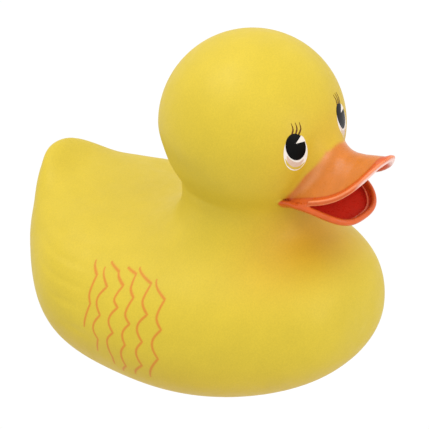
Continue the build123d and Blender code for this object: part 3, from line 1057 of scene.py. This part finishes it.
def eye_point(side, across, above, lift):
    """Points on the head, in mm from the eye's middle: across runs towards +X and above runs upwards."""
    a, e = math.radians(EYE_AZIMUTH[side]), math.radians(EYE_ELEVATION[side])
    ahead = np.array([side * math.sin(a) * math.cos(e), -math.cos(a) * math.cos(e), math.sin(e)])
    right = np.array([math.cos(a), side * math.sin(a), 0.0])
    top = np.cross(ahead, right)
    across, above = np.asarray(across, float), np.asarray(above, float)
    arc = np.hypot(across, above)
    tilt = arc / HEAD_R
    scale = np.where(arc > 1e-9, np.sin(tilt) / np.maximum(arc, 1e-9), 1 / HEAD_R)
    way = (np.cos(tilt)[..., None] * ahead + (across * scale)[..., None] * right
           + (above * scale)[..., None] * top)
    start = Vector(HEAD)
    points = []
    for direction, height in zip(way, np.broadcast_to(lift, len(way))):
        hit = skin_bvh.ray_cast(start + Vector(direction) * 90, -Vector(direction))[0]
        points.append(np.array(hit) + height * direction)
    return np.array(points)


def painted_patch(name, side, outline, lift, finish, rings=9):
    """A thin closed layer of paint inside an outline that is star-shaped about its middle."""
    outline = np.asarray(outline, float)
    middle = outline.mean(0)
    count = len(outline)
    tops = [middle[None]]
    for ring in range(1, rings + 1):
        tops.append(middle + (outline - middle) * ring / rings)
    flat = np.concatenate(tops)
    upper = eye_point(side, flat[:, 0], flat[:, 1], np.full(len(flat), lift))
    lower = eye_point(side, flat[:, 0], flat[:, 1], np.full(len(flat), -0.25))
    total = len(flat)
    faces = []
    for layer in (0, total):
        for j in range(count):
            k = (j + 1) % count
            faces.append((layer, layer + 1 + j, layer + 1 + k))
            for ring in range(rings - 1):
                a, b = layer + 1 + ring * count, layer + 1 + (ring + 1) * count
                faces.append((a + j, b + j, b + k, a + k))
    edge = 1 + (rings - 1) * count
    for j in range(count):
        k = (j + 1) % count
        faces.append((edge + j, edge + k, total + edge + k, total + edge + j))
    return place_paint(name, np.concatenate([upper, lower]), faces, finish)


def place_paint(name, points, faces, finish):
    """A closed layer of paint as a piece on the float."""
    mesh = closed_mesh(points, faces)
    shade_smooth(mesh, 50)
    made = bpy.data.objects.new(name, mesh)
    bpy.context.scene.collection.objects.link(made)
    return finish_piece(made, None, finish)


def painted_stripe(name, side, line, widths, lift, finish, steps=28):
    """A thin closed stripe of paint along a smooth line, its width following widths."""
    line = smooth_line(np.asarray(line, float), steps)
    widths = np.interp(np.linspace(0, 1, len(line)), np.linspace(0, 1, len(widths)), widths)
    along = np.gradient(line, axis=0)
    along /= np.linalg.norm(along, axis=1)[:, None]
    beside = np.stack([-along[:, 1], along[:, 0]], -1)
    rows = []
    for offset, height in ((-0.5, lift), (0.0, lift), (0.5, lift), (0.5, -0.25), (0.0, -0.25), (-0.5, -0.25)):
        flat = line + beside * (offset * widths)[:, None]
        rows.append(eye_point(side, flat[:, 0], flat[:, 1], np.full(len(flat), height)))
    return place_paint(name, *loft_rows(rows), finish)


def loft_rows(rows):
    """Joins rows of points, given in order round a strip, into a closed solid."""
    count, length = len(rows), len(rows[0])
    points = np.stack(rows, 1).reshape(-1, 3)
    faces = []
    for i in range(length - 1):
        for j in range(count):
            k = (j + 1) % count
            faces.append((i * count + j, i * count + k, (i + 1) * count + k, (i + 1) * count + j))
    faces.append(tuple(range(count)))
    faces.append(tuple((length - 1) * count + j for j in reversed(range(count))))
    return points, faces


def smooth_line(points, steps):
    """A Catmull-Rom curve through points, about evenly spaced."""
    padded = np.concatenate([[2 * points[0] - points[1]], points, [2 * points[-1] - points[-2]]])
    out = []
    for i in range(1, len(padded) - 2):
        p0, p1, p2, p3 = padded[i - 1:i + 3]
        for t in np.linspace(0, 1, max(steps // (len(points) - 1), 4), endpoint=False):
            out.append(0.5 * (2 * p1 + (p2 - p0) * t + (2 * p0 - 5 * p1 + 4 * p2 - p3) * t**2
                              + (3 * p1 - p0 - 3 * p2 + p3) * t**3))
    out.append(padded[-2])
    return np.array(out)


def ellipse(centre, long_half, short_half, lean, count=72):
    """An ellipse that leans so that its foot is nearer +X."""
    t = np.linspace(0, 2 * np.pi, count, endpoint=False)
    lean = math.radians(lean)
    along = np.array([math.sin(lean), -math.cos(lean)])
    beside = np.array([math.cos(lean), math.sin(lean)])
    return (np.array(centre) + long_half * np.cos(t)[:, None] * along
            + short_half * np.sin(t)[:, None] * beside)


LASHES = [
    ((-2.0, 11.0), (-0.8, 14.2), (-1.4, 18.0)),
    ((0.5, 11.0), (1.8, 14.2), (1.3, 17.9)),
    ((2.4, 10.4), (4.3, 13.6), (4.0, 17.5)),
]


def make_eye(tag, side):
    """One printed eye: a white oval and its outline, a black pupil with a cut-out, three lashes."""
    painted_patch("eye_oval_" + tag, side, ellipse((-0.1, -0.55), 11.2, 7.85, 4.0), 0.08, eye_white_paint)
    gap = [(-6.9, -2.6), (-5.3, -6.6), (-1.3, -9.75), (2.3, -10.1), (5.7, -7.6)]
    painted_stripe("eye_gap_" + tag, side, gap, [0.3, 1.4, 1.9, 1.7, 0.4], 0.11, eye_gap_paint, 40)
    blush = [(-5.9, -1.0), (-4.4, -4.6), (-1.2, -7.4), (2.2, -7.8), (5.0, -5.4)]
    painted_stripe("eye_blush_" + tag, side, blush, [0.5, 2.4, 3.2, 2.8, 0.6], 0.12, eye_pink_paint, 40)
    painted_patch("pupil_" + tag, side, ellipse((0.05, 3.3), 8.5, 6.35, 18.0), 0.15, pupil_paint)
    wedge = [(0.0, 5.5), (1.9, 7.5), (4.0, 9.7), (5.4, 8.3), (6.6, 5.6), (3.3, 5.6)]
    painted_patch("eye_wedge_" + tag, side, wedge, 0.18, eye_white_paint, 4)
    for number, lash in enumerate(LASHES, 1):
        painted_stripe(f"lash_{tag}_{number}", side, lash, [1.05, 0.95, 0.6, 0.15], 0.14, lash_paint, 24)


make_eye("left", -1.0)
make_eye("right", 1.0)

# ---------------------------------------------------------------- painted feathers
# Zigzag lines on each flank, from the top down: y and z of each peak and trough.
ZIGZAGS = [
    [(36.7, 82), (30.4, 76.6), (30.1, 68.8), (26.9, 62.7), (28.9, 47.3)],
    [(27.9, 81), (19.1, 74), (22.8, 66.7), (17.2, 59.2), (21.3, 50.3), (16.8, 43.7), (18.3, 33.7)],
    [(26, 83.8), (16.3, 81.7), (8, 77.7), (10.2, 70.7), (5.6, 67.3), (9.8, 59.1), (4.9, 52.5), (8.9, 45.6),
     (5.7, 34.7), (5.5, 28.7)],
    [(12.3, 84.8), (3.6, 84), (2.5, 79.2), (-2.6, 74.7), (-0.9, 66.3), (-5.7, 61), (-2, 54.1), (-4.7, 47.5),
     (-1.6, 40), (-3.7, 31.1), (0.4, 24.4)],
    [(4.1, 86.9), (-9.8, 83), (-9.3, 75.7), (-15.7, 68.9), (-11.2, 60.9), (-16.2, 52.8), (-12.6, 45),
     (-16.1, 36.1), (-9.3, 26.1)],
    [(-11.8, 85.6), (-23.3, 78.6), (-22.1, 70.1), (-27.2, 63), (-22.9, 54), (-27.5, 44.4), (-20.5, 27.9)],
]
STROKE_WIDTH = 0.95
STROKE_FADE = 0.7  # soft edge either side
STROKE_LIFT = 0.09


def zigzag_line(corners):
    """Pointed where it peaks towards the bill, round where it turns back."""
    corners = np.asarray(corners, float)
    line = [corners[0]]
    for a, b in zip(corners[:-1], corners[1:]):
        for t in np.linspace(0, 1, 11)[1:]:
            across = math.sin(math.pi / 2 * t) if a[0] < b[0] else 1 - math.sin(math.pi / 2 * (1 - t))
            line.append(np.array([a[0] + (b[0] - a[0]) * across, a[1] + (b[1] - a[1]) * t]))
    return np.array(line)


def make_stroke(name, side, corners):
    """A soft-edged line of orange paint lying on the flank."""
    line = zigzag_line(corners)
    along = np.gradient(line, axis=0)
    along /= np.maximum(np.linalg.norm(along, axis=1), 1e-6)[:, None]
    beside = np.stack([-along[:, 1], along[:, 0]], -1)
    share = np.linspace(0, 1, len(line))
    taper = smoothstep(0, 0.22, share) * smoothstep(1.0, 0.95, share)
    half = STROKE_WIDTH / 2 * (0.35 + 0.65 * taper)
    profile = [(-1, 1, 0.0, 0.0), (-1, 0, STROKE_LIFT, 0.85), (0, 0, STROKE_LIFT, 1.0),
               (1, 0, STROKE_LIFT, 0.85),
               (1, 1, 0.0, 0.0), (1, 1, -0.4, 0.0), (0, 0, -0.4, 1.0), (-1, 1, -0.4, 0.0)]
    rows, amounts = [], []
    for sign, fade, lift, amount in profile:
        flat = line + beside * (sign * (half + fade * STROKE_FADE))[:, None]
        row = []
        for y, z in flat:
            place, normal, _, _ = skin_bvh.ray_cast(Vector((side * 200, y, z)), Vector((-side, 0, 0)))
            row.append(np.array(place) + lift * np.array(normal))
        rows.append(row)
        amounts.append(np.full(len(line), amount))
    points, faces = loft_rows([np.array(row) for row in rows])
    mesh = bpy.data.meshes.new(name)
    mesh.from_pydata([tuple(p) for p in points * MM], [], faces)
    amount = np.stack(amounts, 1).reshape(-1)
    paint(mesh, "paint", mix(skin_colours(points), STROKE_ORANGE, amount))
    work = bmesh.new()
    work.from_mesh(mesh)
    bmesh.ops.recalc_face_normals(work, faces=work.faces)
    work.to_mesh(mesh)
    work.free()
    shade_smooth(mesh, 60)
    made = bpy.data.objects.new(name, mesh)
    bpy.context.scene.collection.objects.link(made)
    return finish_piece(made, None, duck_vinyl)


for side_name, side_sign in (("left", -1.0), ("right", 1.0)):
    for number, corners in enumerate(ZIGZAGS, 1):
        make_stroke(f"feather_{side_name}_{number}", side_sign, corners)


# ---------------------------------------------------------------- floor and light
def emission(name, strength):
    made = bpy.data.materials.new(name)
    made.use_nodes = True
    tree = made.node_tree
    tree.nodes.clear()
    glow = tree.nodes.new("ShaderNodeEmission")
    glow.inputs["Color"].default_value = (1.0, 1.0, 1.0, 1.0)
    glow.inputs["Strength"].default_value = strength
    out = tree.nodes.new("ShaderNodeOutputMaterial")
    tree.links.new(glow.outputs["Emission"], out.inputs["Surface"])
    return made


def make_floor():
    """A white light table, so that the duck stands on pure white."""
    floor = new_object("floor", [(-3000, -3000, 0), (3000, -3000, 0), (3000, 3000, 0), (-3000, 3000, 0)],
                       [(0, 1, 2, 3)])
    floor.location.z = -0.0002
    floor.data.materials.append(emission("floor_white", 1.02))


def area_light(name, place, aim, size, power, colour=(1.0, 1.0, 1.0)):
    data = bpy.data.lights.new(name, "AREA")
    data.shape = "DISK"
    data.size = size
    data.energy = power
    data.color = colour
    light = bpy.data.objects.new(name, data)
    light.location = place
    light.rotation_euler = (Vector(aim) - Vector(place)).to_track_quat("-Z", "Y").to_euler()
    bpy.context.scene.collection.objects.link(light)


def make_world(horizon, zenith):
    """A soft white room, brighter overhead."""
    world = bpy.data.worlds.new("studio")
    world.use_nodes = True
    tree = world.node_tree
    background = tree.nodes["Background"]
    background.inputs["Color"].default_value = (1.0, 1.0, 1.0, 1.0)
    place = tree.nodes.new("ShaderNodeTexCoord")
    split = tree.nodes.new("ShaderNodeSeparateXYZ")
    rise = tree.nodes.new("ShaderNodeMapRange")
    rise.inputs["From Min"].default_value = 0.0
    rise.inputs["From Max"].default_value = 1.0
    rise.inputs["To Min"].default_value = horizon
    rise.inputs["To Max"].default_value = zenith
    tree.links.new(place.outputs["Generated"], split.inputs["Vector"])
    tree.links.new(split.outputs["Z"], rise.inputs["Value"])
    tree.links.new(rise.outputs["Result"], background.inputs["Strength"])
    bpy.context.scene.world = world


make_floor()
make_world(0.98, 1.31)
area_light("key", (-0.35, 0.3, 1.1), (0.0, 0.0, 0.12), 0.6, 4.2)
area_light("fill", (0.0, -1.1, 0.4), (0.0, -0.05, 0.1), 0.5, 2.6)
area_light("sparkle", (-0.55, -0.75, 0.9), (0.0, -0.08, 0.14), 0.12, 0.8)
bpy.context.scene.view_settings.view_transform = "Standard"
bpy.context.scene.view_settings.look = "None"
